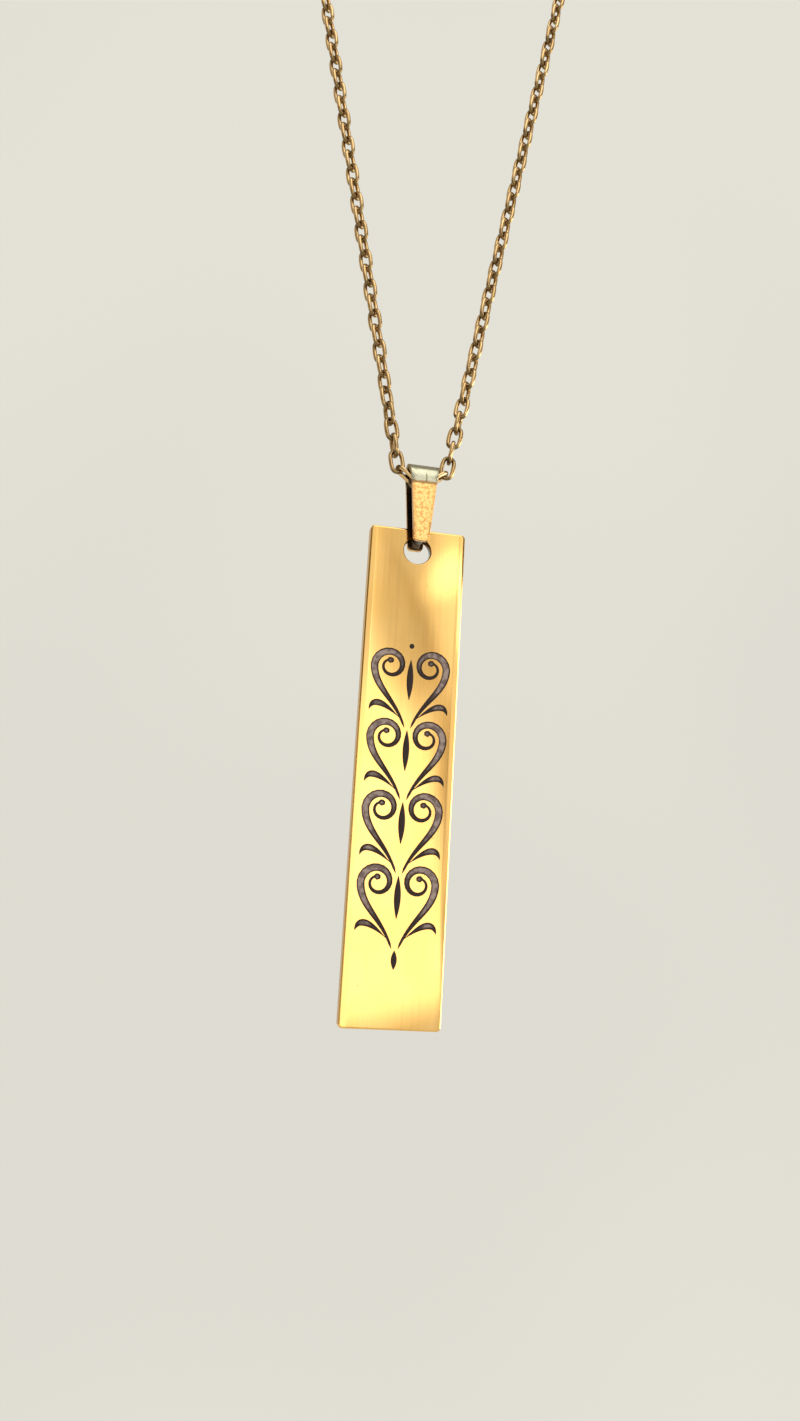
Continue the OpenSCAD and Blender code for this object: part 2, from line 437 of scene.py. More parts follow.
@dataclass(frozen=True)
class GrainyGold(Metal):
    """The bail's finish: grainy orange-gold legs, a fold with a pale painted reflection over a dark painted
    reflection band and painted shade along its top, and painted shade between the legs.

    The fold has a small nick, which is painted and grooved.
    """

    inner_r: float = 1.4
    leg: Colour = (0.980, 0.640, 0.235)
    grit: Colour = (0.740, 0.370, 0.110)
    grit_band: Band = (0.44, 0.63)
    grain_scale: float = 3.2
    grain_detail: float = 4.0
    grain_depth: float = 0.03 * MM
    shoulder: float = 1.325
    taper: float = 0.075
    side_w: float = 0.45
    side_share: float = 0.7
    front_band: Band = (-0.5, 1.0)
    back_share: float = 0.5
    # Painted reflection: the pale tone that the fold's upper part is painted in.
    fold: Colour = (0.510, 0.500, 0.360)
    fold_band: Band = (-0.5, -0.15)
    wander_scale: float = 1.4
    wander: float = 0.3
    # Olive of the fold's mottle and nick, also used as painted shade along the fold's top.
    olive_mark_and_shade: Colour = (0.240, 0.200, 0.100)
    ridge_band: Band = (0.5, 0.8)
    ridge_share: float = 0.22
    top_band: Band = (0.9, 1.5)
    top_wander: float = 0.2
    # A dark painted reflection band along the lower edge of the fold's painted reflection.
    dark_reflection_band: Colour = (0.240, 0.130, 0.050)
    seam_z: float = -0.38
    seam_band: Band = (0.02, 0.26)
    seam_share: float = 0.85
    # Painted shade on the faces between the legs and in the fold's bore; the prongs get a lighter painted
    # shade.
    shade_and_tarnish: Colour = (0.050, 0.033, 0.020)
    leg_edge: float = 0.06
    leg_band: Band = (-0.3, 0.0)
    bore_band: Band = (1.03, 1.15)
    prong_shade: Colour = (0.125, 0.080, 0.042)
    prong_z: float = -5.8
    prong_edge: float = 0.1
    nick_x: float = 0.17
    nick_w: Band = (0.02, 0.07)
    nick_low: Band = (-0.55, -0.35)
    nick_high: Band = (0.2, 0.65)
    nick_back: Band = (-1.0, 0.0)
    nick_share: float = 0.7
    nick_depth: float = 0.02 * MM
    roughness: float = 0.2
    grain_rough: float = 0.14

    def material(self) -> bpy.types.Material:
        """Return the finish as a material."""
        material, graph, shader = self.start()
        strip = graph.place(self.origin)
        across, depth, height = graph.axes(strip)
        grain = graph.noise(strip, self.grain_scale, self.grain_detail)
        # Painted reflection: the fold is painted pale from a wavering height up, half as strongly on the
        # back.
        in_front = depth.fall(*self.front_band) * (1.0 - self.back_share) + self.back_share
        reflection_height = height + graph.noise(strip, self.wander_scale) * self.wander
        fold_reflection = reflection_height.rise(*self.fold_band) * in_front
        side = (abs(across) - height * self.taper).rise(self.shoulder - self.side_w, self.shoulder)
        # Painted dark reflection band under the fold's painted reflection.
        dark_reflection_band = abs(reflection_height - self.seam_z).fall(*self.seam_band) * in_front
        nick = abs(across - self.nick_x).fall(*self.nick_w) * height.rise(*self.nick_low)
        nick = nick * height.fall(*self.nick_high) * depth.fall(*self.nick_back)
        tone = graph.colour(grain.rise(*self.grit_band), self.leg, self.grit)
        tone = graph.colour(side * self.side_share, tone, self.grit)
        fold = graph.colour(grain.rise(*self.ridge_band) * self.ridge_share, self.fold, self.olive_mark_and_shade)
        tone = graph.colour(fold_reflection, tone, fold)
        tone = graph.colour(dark_reflection_band * self.seam_share, tone, self.dark_reflection_band)
        # Painted shade: a darker band along the fold's top.
        tone = graph.colour((height + grain * self.top_wander).rise(*self.top_band), tone, self.olive_mark_and_shade)
        tone = graph.colour(nick * self.nick_share, tone, self.olive_mark_and_shade)
        # Painted shade between the legs and in the bore, a little lighter on the prongs.
        inside = graph.colour(height.fall(self.prong_z - self.prong_edge, self.prong_z), self.shade_and_tarnish,
                              self.prong_shade)
        legs = abs(depth).fall(self.inner_r, self.inner_r + self.leg_edge) * height.fall(*self.leg_band)
        bore_edge = [self.inner_r ** 2 * share for share in self.bore_band]
        bore_shade = (depth.squared() + height.squared()).fall(*bore_edge)
        groove = graph.bump(1.0 - nick, self.nick_depth)
        graph.fill(shader, {"Base Color": graph.colour(legs + bore_shade, tone, inside),
                            "Roughness": self.roughness + grain * self.grain_rough,
                            "Normal": graph.bump(grain, self.grain_depth, groove)})
        return material


@dataclass(frozen=True)
class AntiqueGold(Metal):
    """The chain's finish: dull bronze-gold wire, darker where one link rubs on the next."""

    wire: Colour = (0.580, 0.375, 0.155)
    bright: Colour = (0.755, 0.510, 0.240)
    shade_and_tarnish: Colour = (0.170, 0.112, 0.045)
    joint_band: Band = (0.6, 0.95)
    joint_share: float = 0.85
    cloud_scale: float = 1.1
    cloud_band: Band = (0.5, 0.75)
    cloud_share: float = 0.3
    grain_scale: float = 9.0
    grain_depth: float = 0.006 * MM
    roughness: float = 0.14
    cloud_rough: float = 0.12
    joint_rough: float = 0.06

    def material(self) -> bpy.types.Material:
        """Return the finish as a material."""
        material, graph, shader = self.start()
        wire = graph.place(self.origin)
        cloud = graph.noise(wire, self.cloud_scale)
        grain = graph.noise(wire, self.grain_scale)
        joint = graph.attribute("joint")
        tone = graph.colour(graph.attribute("tone"), self.wire, self.bright)
        stained = joint.rise(*self.joint_band) * self.joint_share
        stained = stained + cloud.rise(*self.cloud_band) * self.cloud_share
        rough = self.roughness + cloud * self.cloud_rough + joint * self.joint_rough
        graph.fill(shader, {"Base Color": graph.colour(stained, tone, self.shade_and_tarnish), "Roughness": rough,
                            "Normal": graph.bump(grain, self.grain_depth)})
        return material


@dataclass(frozen=True)
class ClaspGold(Metal):
    """Plain polished wire with a light haze."""

    warm: Colour = (0.930, 0.630, 0.260)
    dull: Colour = (0.720, 0.480, 0.200)
    dull_band: Band = (0.3, 0.7)
    cloud_scale: float = 0.8
    cloud_detail: float = 3.0
    roughness: float = 0.18
    cloud_rough: float = 0.16

    def material(self) -> bpy.types.Material:
        """Return the finish as a material."""
        material, graph, shader = self.start()
        cloud = graph.noise(graph.place(self.origin), self.cloud_scale, self.cloud_detail)
        graph.fill(shader, {"Base Color": graph.colour(cloud.rise(*self.dull_band), self.warm, self.dull),
                            "Roughness": self.roughness + cloud * self.cloud_rough})
        return material


def of_kind(parts: list, kind: type) -> list:
    """Return the vertices, edges or faces among the parts that an operator gives back."""
    return [part for part in parts if isinstance(part, kind)]


def pull(bm: bmesh.types.BMesh, edges: Edges, step: Vector) -> Edges:
    """Extrude edges by one step.

    Args:
        bm: The mesh that holds the edges.
        edges: The edges to extrude.
        step: The move.

    Returns:
        The new edges.
    """
    made = bmesh.ops.extrude_edge_only(bm, edges=edges)["geom"]
    bmesh.ops.translate(bm, verts=of_kind(made, bmesh.types.BMVert), vec=step)
    return of_kind(made, bmesh.types.BMEdge)


def turn(bm: bmesh.types.BMesh, edges: Edges, centre: Vector, axis: Triple, steps: int,
         angle: float = HALF_TURN) -> Edges:
    """Sweep edges round a right-handed axis through a centre, and return the last edges."""
    made = bmesh.ops.spin(bm, geom=edges, cent=centre, axis=axis, angle=angle, steps=steps)
    return of_kind(made["geom_last"], bmesh.types.BMEdge)


def soften(bm: bmesh.types.BMesh, edges: Edges, radius: float, segments: int) -> None:
    """Round edges with a number of faces across the round."""
    bmesh.ops.bevel(bm, geom=edges, offset=radius, offset_type="OFFSET", segments=segments,
                    profile=0.5, affect="EDGES", clamp_overlap=True, material=-1)


def shade_smooth(bm: bmesh.types.BMesh) -> None:
    """Shade every face smoothly."""
    for face in bm.faces:
        face.smooth = True


def make_object(name: str, bm: bmesh.types.BMesh, *materials: bpy.types.Material) -> bpy.types.Object:
    """Turn a bmesh into an object at the origin, and free the bmesh.

    Args:
        name: The object's name.
        bm: The finished mesh.
        materials: Its materials, in slot order.

    Returns:
        The linked object.
    """
    mesh = bpy.data.meshes.new(name)
    bm.to_mesh(mesh)
    bm.free()
    for material in materials:
        mesh.materials.append(material)
    made = bpy.data.objects.new(name, mesh)
    bpy.context.scene.collection.objects.link(made)
    return made


def settle(piece: bpy.types.Object) -> None:
    """Put the result of a piece's modifiers into its own mesh."""
    result = bpy.data.meshes.new_from_object(piece.evaluated_get(bpy.context.evaluated_depsgraph_get()))
    piece.modifiers.clear()
    piece.data = result


def carve(piece: bpy.types.Object, tool: bpy.types.Object, carving: Carving) -> None:
    """Cut a tool out of a piece or join it on, and delete the tool.

    Args:
        piece: The object that is changed.
        tool: The closed object that cuts or joins.
        carving: What the tool does.
    """
    cut = piece.modifiers.new("carve", "BOOLEAN")
    cut.operation = carving.value
    cut.solver = "EXACT"
    cut.use_self = True
    cut.material_mode = "TRANSFER"
    cut.object = tool
    settle(piece)
    bpy.data.objects.remove(tool)


def even_shading(piece: bpy.types.Object) -> None:
    """Shade a piece smoothly, with its flat faces kept flat beside their rounded edges."""
    for face in piece.data.polygons:
        face.use_smooth = True
    weights = piece.modifiers.new("even_shading", "WEIGHTED_NORMAL")
    weights.weight = 100
    settle(piece)


def joint_place(name: str) -> Vector:
    """Return a joint's place in the frame."""
    return Vector(next(joint["pos_m"] for joint in frame["joints"] if joint["name"] == name))


def bezier(ends: list[Vector], share: float) -> Vector:
    """Return the point at a share of a Bezier curve, by halving its control polygon."""
    points = ends
    while len(points) > 1:
        points = [before.lerp(after, share) for before, after in zip(points, points[1:])]
    return points[0]


@dataclass
class Scrollwork:
    """The bar's engraved ornament: a column of heart-shaped scroll pairs with leaves and dots.

    Places are in millimetres from the centre of the bar's front, and only the right half is drawn. Places
    of leaves and dots are given from the height of a scroll's eye.
    """

    eyes_z: tuple[float, ...] = (10.4, 3.2, -4.0, -11.2)
    eye_x: float = 2.05
    eye_r: float = 0.42
    eye_ball: float = 0.34
    whorl_r: float = 1.65
    whorl_turns: float = 1.35
    stem: tuple[Pair, ...] = ((3.70, 0.0), (3.70, -2.4), (1.30, -3.4), (0.30, -6.3))
    branch: tuple[Pair, ...] = ((4.0, -4.7), (3.7, -3.3), (2.4, -3.9), (0.85, -5.3))
    hairline: float = 0.12
    widest: float = 0.42
    widest_at: float = 0.52
    swelling: float = 1.6
    tip_length: float = 0.48
    tip_share: float = 0.2
    thinnest: float = 0.03
    start_half: float = 0.06
    leaf_z: Pair = (0.7, -3.4)
    leaf_half: float = 0.34
    leaf_fullness: float = 0.8
    foot_z: Pair = (-6.4, -8.2)
    foot_half: float = 0.30
    sprig_half: float = 0.32
    sprig_lean: float = 0.8
    sprig_swelling: float = 1.3
    dot_z: float = 2.15
    dot_r: float = 0.27
    dot_end: float = 0.02
    arc_steps: int = 20
    stem_steps: int = 16
    leaf_steps: int = 12
    dot_steps: int = 10

    def centre_line(self, z: float) -> list[Vector]:
        """One scroll's line, from its eye out round the whorl and down its stem.

        Args:
            z: The height of its eye.

        Returns:
            The line's points.
        """
        count = round(self.arc_steps * self.whorl_turns)
        line = []
        for number in range(count):
            share = number / count
            angle = 2 * HALF_TURN * self.whorl_turns * (1 - share)
            radius = self.eye_r + (self.whorl_r - self.eye_r) * share
            line.append(Vector((self.eye_x + radius * math.cos(angle), z + radius * math.sin(angle))))
        ends = [Vector((x, z + drop)) for x, drop in self.stem]
        for number in range(self.stem_steps + 1):
            line.append(bezier(ends, number / self.stem_steps))
        return line

    def scroll(self, z: float) -> Stroke:
        """One scroll with its swelling width and the ball in its eye.

        Args:
            z: The height of its eye.

        Returns:
            The stroke, as x, z and half width.
        """
        line = self.centre_line(z)
        runs = [0.0]
        for before, after in zip(line, line[1:]):
            runs.append(runs[-1] + (after - before).length)
        stroke = []
        for point, run in zip(line, runs):
            share = (run / runs[-1]) ** (math.log(0.5) / math.log(self.widest_at))
            swell = math.sin(HALF_TURN * share) ** self.swelling
            ball = math.sqrt(max(0.0, self.eye_ball ** 2 - (run - self.eye_ball) ** 2))
            tip = min(1.0, (runs[-1] - run) / self.tip_length + self.tip_share)
            half = max(ball, (self.hairline + (self.widest - self.hairline) * swell) * tip)
            stroke.append((point.x, point.y, max(half, self.thinnest) if run else self.start_half))
        return stroke

    def leaf(self, z: float, ends: Pair, half: float) -> Stroke:
        """A lens-shaped leaf on the bar's axis.

        Args:
            z: The height of a scroll's eye.
            ends: Its upper and its lower point, from that eye.
            half: Half of its width.

        Returns:
            The stroke.
        """
        steps = [number / self.leaf_steps for number in range(self.leaf_steps + 1)]
        halves = [half * math.sin(HALF_TURN * step) ** self.leaf_fullness for step in steps]
        top, tip = z + ends[0], z + ends[1]
        return [(0.0, top + (tip - top) * step, max(self.thinnest, w)) for step, w in zip(steps, halves)]

    def sprig(self, z: float) -> Stroke:
        """A leaf that curls off the stem, pointed at its outer end.

        Args:
            z: The height of its scroll's eye.

        Returns:
            The stroke.
        """
        ends = [Vector((x, z + drop)) for x, drop in self.branch]
        stroke = []
        for step in (number / self.stem_steps for number in range(self.stem_steps + 1)):
            point = bezier(ends, step)
            swell = math.sin(HALF_TURN * step ** self.sprig_lean) ** self.sprig_swelling
            stroke.append((point.x, point.y, self.thinnest + self.sprig_half * swell))
        return stroke

    def dot(self, z: float, radius: float) -> Stroke:
        """Return a round dot on the bar's axis as a short stroke."""
        turns = [HALF_TURN * number / self.dot_steps for number in range(self.dot_steps + 1)]
        return [(0.0, z - radius * math.cos(a), max(self.dot_end, radius * math.sin(a))) for a in turns]

    def strokes(self) -> Iterator[list[Stroke]]:
        """Yield the strokes in groups whose members don't touch: mirrored pairs, then those on the axis."""
        for z in self.eyes_z:
            for right in (self.scroll(z), self.sprig(z)):
                yield [right, [(-x, height, half) for x, height, half in right]]
        yield [self.leaf(z, self.leaf_z, self.leaf_half) for z in self.eyes_z]
        foot = self.leaf(self.eyes_z[-1], self.foot_z, self.foot_half)
        yield [self.dot(self.eyes_z[0] + self.dot_z, self.dot_r), foot]


@dataclass
class Nameplate:
    """The bar, with its rounded rim, its hanging hole and its engraving. Sizes are in millimetres."""

    body: str = "plate"
    corner_r: float = 0.45
    corner_steps: int = 6
    rim_r: float = 0.2
    rim_steps: int = 5
    flat: float = 0.9999
    hole_d: float = 2.8
    hole_wall: float = 0.9
    hole_rim_r: float = 0.1
    hole_rim_steps: int = 4
    hole_steps: int = 64
    tool_past: float = 0.5
    weld: float = 0.001
    groove_depth: float = 0.055
    graver_lift: float = 0.0043
    graver_steps: int = 3
    low: Vector = field(init=False)
    high: Vector = field(init=False)

    def __post_init__(self) -> None:
        """Take the bar's place from the frame."""
        self.low, self.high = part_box(self.body)

    @property
    def front(self) -> Vector:
        """The centre of the bar's front face."""
        centre = (self.low + self.high) / 2
        return Vector((centre.x, self.low.y, centre.z))

    @property
    def hole(self) -> Vector:
        """The hole's centre on the front face."""
        return Vector((self.front.x, self.low.y, self.high.z - (self.hole_wall + self.hole_d / 2) * MM))

    def bar(self, gold: bpy.types.Material) -> bpy.types.Object:
        """Make the bar without its hole: a box with round corners and a softened rim.

        Args:
            gold: The polished finish.

        Returns:
            The bar.
        """
        size = self.high - self.low
        bm = bmesh.new()
        place = Matrix.Translation((self.low + self.high) / 2) @ Matrix.Diagonal((*size, 1))
        bmesh.ops.create_cube(bm, size=1, matrix=place)
        along = [edge for edge in bm.edges if abs((edge.verts[0].co - edge.verts[1].co).y) > size.y / 2]
        soften(bm, along, self.corner_r * MM, self.corner_steps)
        rims = [edge for edge in bm.edges if abs((edge.verts[0].co - edge.verts[1].co).y) < size.y / 2]
        soften(bm, rims, self.rim_r * MM, self.rim_steps)
        for face in bm.faces:
            face.smooth = max(abs(part) for part in face.normal) < self.flat
        return make_object("nameplate", bm, gold)

    def hole_tool(self, gold: bpy.types.Material) -> bpy.types.Object:
        """Make the tool that cuts the hole and rounds its two rims.

        Args:
            gold: The finish of the hole's wall.

        Returns:
            The tool.
        """
        thick, radius, rim = (self.high.y - self.low.y) / MM, self.hole_d / 2, self.hole_rim_r
        turns = [QUARTER_TURN * step / self.hole_rim_steps for step in range(self.hole_rim_steps + 1)]
        arc = [(radius + rim * (1 - math.cos(a)), rim * (1 - math.sin(a))) for a in turns]
        near = arc[::-1]
        far = [(r, thick - y) for r, y in arc]
        flare, start, end = radius + rim, -self.tool_past, thick + self.tool_past
        wall = [(0.0, start), (flare, start), *near, *far, (flare, end), (0.0, end)]
        bm = bmesh.new()
        row = [bm.verts.new(self.hole + Vector((r, y, 0)) * MM) for r, y in wall]
        edges = [bm.edges.new(pair) for pair in zip(row, row[1:])]
        bmesh.ops.spin(bm, geom=row + edges, cent=self.hole, axis=(0, 1, 0), angle=2 * HALF_TURN,
                       steps=self.hole_steps, use_merge=True)
        bmesh.ops.remove_doubles(bm, verts=bm.verts, dist=self.weld * MM)
        bmesh.ops.recalc_face_normals(bm, faces=bm.faces)
        shade_smooth(bm)
        return make_object("hole_tool", bm, gold)

    def graver(self, strokes: list[Stroke], widest: float, burnt: bpy.types.Material) -> bpy.types.Object:
        """Make the tool that cuts a few strokes: round strokes, flattened to the groove's depth.

        Args:
            strokes: Each stroke's x, z and half width at each point, in millimetres.
            widest: The half width at which a stroke is cut to its full depth.
            burnt: The finish of the groove.

        Returns:
            The tool.
        """
        curve = bpy.data.curves.new("graver", "CURVE")
        curve.dimensions = "3D"
        curve.bevel_depth = 1.0
        curve.bevel_resolution = self.graver_steps
        curve.use_fill_caps = True
        for stroke in strokes:
            spline = curve.splines.new("POLY")
            spline.points.add(len(stroke) - 1)
            for point, (x, z, half) in zip(spline.points, stroke):
                point.co = (x, 0, z, 1)
                point.radius = half
        drawn = bpy.data.objects.new("graver_curve", curve)
        bm = bmesh.new()
        bm.from_mesh(drawn.to_mesh())
        drawn.to_mesh_clear()
        bpy.data.objects.remove(drawn)
        flatten = Matrix.Diagonal((MM, self.groove_depth / widest * MM, MM, 1))
        off_face = Vector((0, -self.graver_lift * MM, 0))
        bmesh.ops.transform(bm, matrix=Matrix.Translation(self.front + off_face) @ flatten, verts=bm.verts)
        bmesh.ops.recalc_face_normals(bm, faces=bm.faces)
        shade_smooth(bm)
        return make_object("graver", bm, burnt)

    def build(self) -> bpy.types.Object:
        """Make the nameplate and hang it on its body.

        Returns:
            The nameplate.
        """
        gold = PolishedGold("polished_gold", self.front).material()
        burnt = BurntEngraving("burnt_engraving", self.front, self.groove_depth).material()
        plate = self.bar(gold)
        carve(plate, self.hole_tool(gold), Carving.CUT)
        ornament = Scrollwork()
        for strokes in ornament.strokes():
            carve(plate, self.graver(strokes, ornament.widest, burnt), Carving.CUT)
        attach(plate, self.body)
        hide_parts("plate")
        return plate


@dataclass
class Bail:
    """The folded strip that carries the bar: a fold over the chain, two tapered legs and two prongs.

    Sizes are in millimetres, and places are measured from the fold's centre.
    """

    body: str = "bail"
    fold_w: float = 3.3
    shoulder_w: float = 2.65
    tip_w: float = 1.65
    strip_t: float = 0.5
    gap: float = 2.8
    tip_wall: float = 0.05
    tip_r: float = 0.4
    tip_steps: int = 4
    edge_r: float = 0.09
    edge_steps: int = 2
    fold_steps: int = 20
    leg_steps: int = 6
    prong_d: float = 0.8
    prong_gap: float = 0.3
    prong_r: float = 0.15
    prong_tip_steps: int = 3
    prong_sides: int = 24
    columns: tuple[float, ...] = (-1, -0.5, 0, 0.5, 1)
    fold: Vector = field(init=False)
    drop: float = field(init=False)

    def __post_init__(self) -> None:
        """Take the fold's place and the prongs' place from the joints."""
        self.fold = joint_place("bail_swing")
        self.drop = (self.fold.z - joint_place("plate_swing").z) / MM

    @property
    def outer_r(self) -> float:
        """The outer radius of the fold."""
        return self.gap / 2 + self.strip_t

    @property
    def tip_z(self) -> float:
        """The height of the legs' tips."""
        return -self.drop - self.prong_d / 2 - self.tip_wall

    def half_width(self, z: float) -> float:
        """Half of the strip's width at a height.

        Args:
            z: The height over the fold's centre.

        Returns:
            Half of the width there.
        """
        if z >= 0:
            return (self.shoulder_w + (self.fold_w - self.shoulder_w) * z / self.outer_r) / 2
        round_z = self.tip_z + self.tip_r
        if z >= round_z:
            return (self.shoulder_w + (self.tip_w - self.shoulder_w) * z / round_z) / 2
        return self.tip_w / 2 - self.tip_r + math.sqrt(max(0.0, self.tip_r ** 2 - (round_z - z) ** 2))

    def strip(self) -> bmesh.types.BMesh:
        """Return the strip as a bmesh: a row of points pulled up a leg, over the fold and down the other."""
        bm = bmesh.new()
        row = [bm.verts.new((x, -self.outer_r, self.tip_z)) for x in self.columns]
        edges = [bm.edges.new(pair) for pair in zip(row, row[1:])]
        turns = [QUARTER_TURN * step / self.tip_steps for step in range(self.tip_steps + 1)]
        heights = [self.tip_r * (1 - math.cos(angle)) for angle in turns]
        climb = [after - before for before, after in zip(heights, heights[1:])]
        climb += [(-self.tip_z - self.tip_r) / self.leg_steps] * self.leg_steps
        for step in climb:
            edges = pull(bm, edges, Vector((0, 0, step)))
        edges = turn(bm, edges, Vector(), (-1, 0, 0), self.fold_steps)
        for step in reversed(climb):
            edges = pull(bm, edges, Vector((0, 0, -step)))
        for vert in bm.verts:
            vert.co.x *= self.half_width(vert.co.z)
        bmesh.ops.recalc_face_normals(bm, faces=bm.faces)
        bmesh.ops.solidify(bm, geom=bm.faces[:], thickness=self.strip_t)
        bmesh.ops.recalc_face_normals(bm, faces=bm.faces)
        sharp = [edge for edge in bm.edges if edge.calc_face_angle(0) > QUARTER_TURN / 2]
        soften(bm, sharp, self.edge_r, self.edge_steps)
        return bm

    def prongs(self) -> bmesh.types.BMesh:
        """Return the two prongs as a bmesh, each with a rounded tip."""
        root = self.outer_r - self.strip_t / 2
        length = root - self.prong_gap / 2
        radius = self.prong_d / 2
        bm = bmesh.new()
        bmesh.ops.create_cone(bm, cap_ends=True, segments=self.prong_sides, radius1=radius,
                              radius2=radius, depth=length)
        tip = [edge for edge in bm.edges if min(vert.co.z for vert in edge.verts) > 0]
        soften(bm, tip, self.prong_r, self.prong_tip_steps)
        bmesh.ops.rotate(bm, verts=bm.verts, matrix=Matrix.Rotation(-QUARTER_TURN, 3, "X"))
        bmesh.ops.translate(bm, verts=bm.verts, vec=(0, length / 2 - root, -self.drop))
        made = bmesh.ops.duplicate(bm, geom=bm.verts[:] + bm.edges[:] + bm.faces[:])["geom"]
        bmesh.ops.rotate(bm, verts=of_kind(made, bmesh.types.BMVert),
                         matrix=Matrix.Rotation(HALF_TURN, 3, "Z"))
        return bm

    def build(self) -> bpy.types.Object:
        """Make the bail and hang it on its body.

        Returns:
            The bail.
        """
        gold = GrainyGold("bail_gold", self.fold).material()
        parts = []
        place = Matrix.Translation(self.fold) @ Matrix.Scale(MM, 4)
        for name, bm in (("bail_strip", self.strip()), ("prongs", self.prongs())):
            bmesh.ops.transform(bm, matrix=place, verts=bm.verts)
            bmesh.ops.recalc_face_normals(bm, faces=bm.faces)
            parts.append(make_object(name, bm, gold))
        bail, prongs = parts
        carve(bail, prongs, Carving.JOIN)
        even_shading(bail)
        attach(bail, self.body)
        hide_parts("bail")
        return bail


@dataclass
class Chain:
    """The loop of loose oval links, which runs through the bail and up to the clasp at the nape.

    Sizes are in millimetres and angles in degrees. A place on the loop is given in its own plane, with
    the lowest link at its zero.
    """

    body: str = "chain"
    loop_length: float = 450
    pitch: float = 1.885
    link_w: float = 1.65
    wire_d: float = 0.4
    clear: float = 0.11
    half_angle: float = 10.5
    shoulder_slope: float = 37
    lean: float = 5.7
    twist: float = 45
    twist_links: int = 6
    clasp_span: float = 7.9
    clasp_wire_d: float = 0.6
    wire_sides: int = 6
    bend_steps: int = 5
    wire_swell: float = 1.42
    straight_swell: float = 0.08
    weld: float = 0.01
    seed: int = 7

    def __post_init__(self) -> None:
        """Work out the links and the route that they follow."""
        self.inner_l = self.pitch + self.clear
        self.bend_r = (self.link_w - self.wire_d) / 2
        self.straight = self.inner_l + self.wire_d - 2 * self.bend_r
        self.half_l = (self.inner_l + self.wire_d) / 2
        self.mid_reach = self.half_l - self.wire_d - self.clear
        self.slope = math.radians(self.shoulder_slope)
        self.open = math.radians(self.half_angle)
        self.foot = Vector((self.mid_reach + 2 * self.half_l * math.cos(self.slope),
                            2 * self.half_l * math.sin(self.slope)))
        reach = self.inner_l / 2 - self.clear - self.clasp_wire_d / 2
        free = (self.loop_length - self.clasp_span) / 2 - 2 * self.mid_reach - 2 * self.half_l - reach
        self.links = round(free / self.pitch) + 1
        self.strand = self.mid_reach + (self.links - 1) * self.pitch + reach
        share = QUARTER_TURN + self.open
        offset = (self.foot.x - self.clasp_span / 2) / math.cos(self.open)
        self.straight_l = (self.strand - offset * share) / (1 + math.tan(self.open) * share)
        self.arc_r = offset + self.straight_l * math.tan(self.open)
        self.arc_x = self.clasp_span / 2
        self.arc_z = self.foot.y + self.straight_l * math.cos(self.open) + self.arc_r * math.sin(self.open)

    def roll(self, number: int, twist: float) -> float:
        """Return a link's roll about the chain, by its number from the bail and the strand's twist."""
        square = (number + 1) % 2 * 90
        return math.radians(square - twist * min(max(number - 2, 0) / self.twist_links, 1))

    def on_strand(self, run: float) -> Triple:
        """A place on the right strand.

        Args:
            run: The length along the strand from its foot.

        Returns:
            The place's x and z, and the chain's slope there.
        """
        if run < self.straight_l:
            return (self.foot.x + run * math.sin(self.open), self.foot.y + run * math.cos(self.open),
                    QUARTER_TURN - self.open)
        angle = (run - self.straight_l) / self.arc_r - self.open
        return (self.arc_x + self.arc_r * math.cos(angle), self.arc_z + self.arc_r * math.sin(angle),
                QUARTER_TURN + angle)

    def loop_plane(self) -> Matrix:
        """Return the loop's plane in the frame, in metres."""
        lean = math.radians(self.lean)
        height = self.arc_z + self.arc_r
        foot = Vector((0, -height * math.sin(lean), -height * math.cos(lean))) * MM
        return Matrix.Translation(foot) @ Matrix.Rotation(-lean, 4, "X") @ Matrix.Scale(MM, 4)

    def link_place(self, side: Side, x: float, z: float, slope: float, roll: float) -> Matrix:
        """Where one link lies.

        Args:
            side: The strand.
            x: The link's distance from the loop's middle.
            z: Its height over the lowest link.
            slope: How steeply it rises.
            roll: How far it is rolled about itself.

        Returns:
            The link's place in the frame.
        """
        sign = side.value
        return (self.loop_plane() @ Matrix.Translation((sign * x, 0, z))
                @ Matrix.Rotation(-sign * slope, 4, "Y") @ Matrix.Rotation(sign * roll, 4, "X"))

    def places(self, side: Side) -> Iterator[Matrix]:
        """Yield the place of each link of one strand, from the bail to the clasp."""
        twist = side.value * self.twist
        if side is Side.RIGHT:
            yield self.link_place(side, 0, 0, 0, self.roll(0, twist))
        yield self.link_place(side, (self.foot.x + self.mid_reach) / 2, self.foot.y / 2, self.slope,
                              self.roll(1, twist))
        for number in range(1, self.links + 1):
            x, z, slope = self.on_strand(self.mid_reach + (number - 1) * self.pitch)
            yield self.link_place(side, x, z, slope, self.roll(number + 1, twist))

    def link(self) -> bpy.types.Mesh:
        """Make one link's cage: a ring of wire swept round two bends and along two straights.

        The cage is a little fuller and longer than the wire, which is its smoothed form.

        Returns:
            The link's mesh, in millimetres, long in X and flat in Z.
        """
        straight = self.straight + self.straight_swell
        bm = bmesh.new()
        place = Matrix.Translation((-straight / 2, self.bend_r, 0)) @ Matrix.Rotation(QUARTER_TURN, 4, "Y")
        bmesh.ops.create_circle(bm, segments=self.wire_sides, radius=self.wire_d / 2 * self.wire_swell,
                                matrix=place)
        edges = bm.edges[:]
        for sign in (1, -1):
            edges = pull(bm, edges, Vector((sign * straight, 0, 0)))
            edges = turn(bm, edges, Vector((sign * straight / 2, 0, 0)), (0, 0, -1), self.bend_steps)
        bmesh.ops.remove_doubles(bm, verts=bm.verts, dist=self.weld)
        bmesh.ops.recalc_face_normals(bm, faces=bm.faces)
        joint = bm.verts.layers.float.new("joint")
        bm.verts.layers.float.new("tone")
        for vert in bm.verts:
            vert[joint] = abs(vert.co.x) / self.half_l
        mesh = bpy.data.meshes.new("link")
        bm.to_mesh(mesh)
        bm.free()
        return mesh

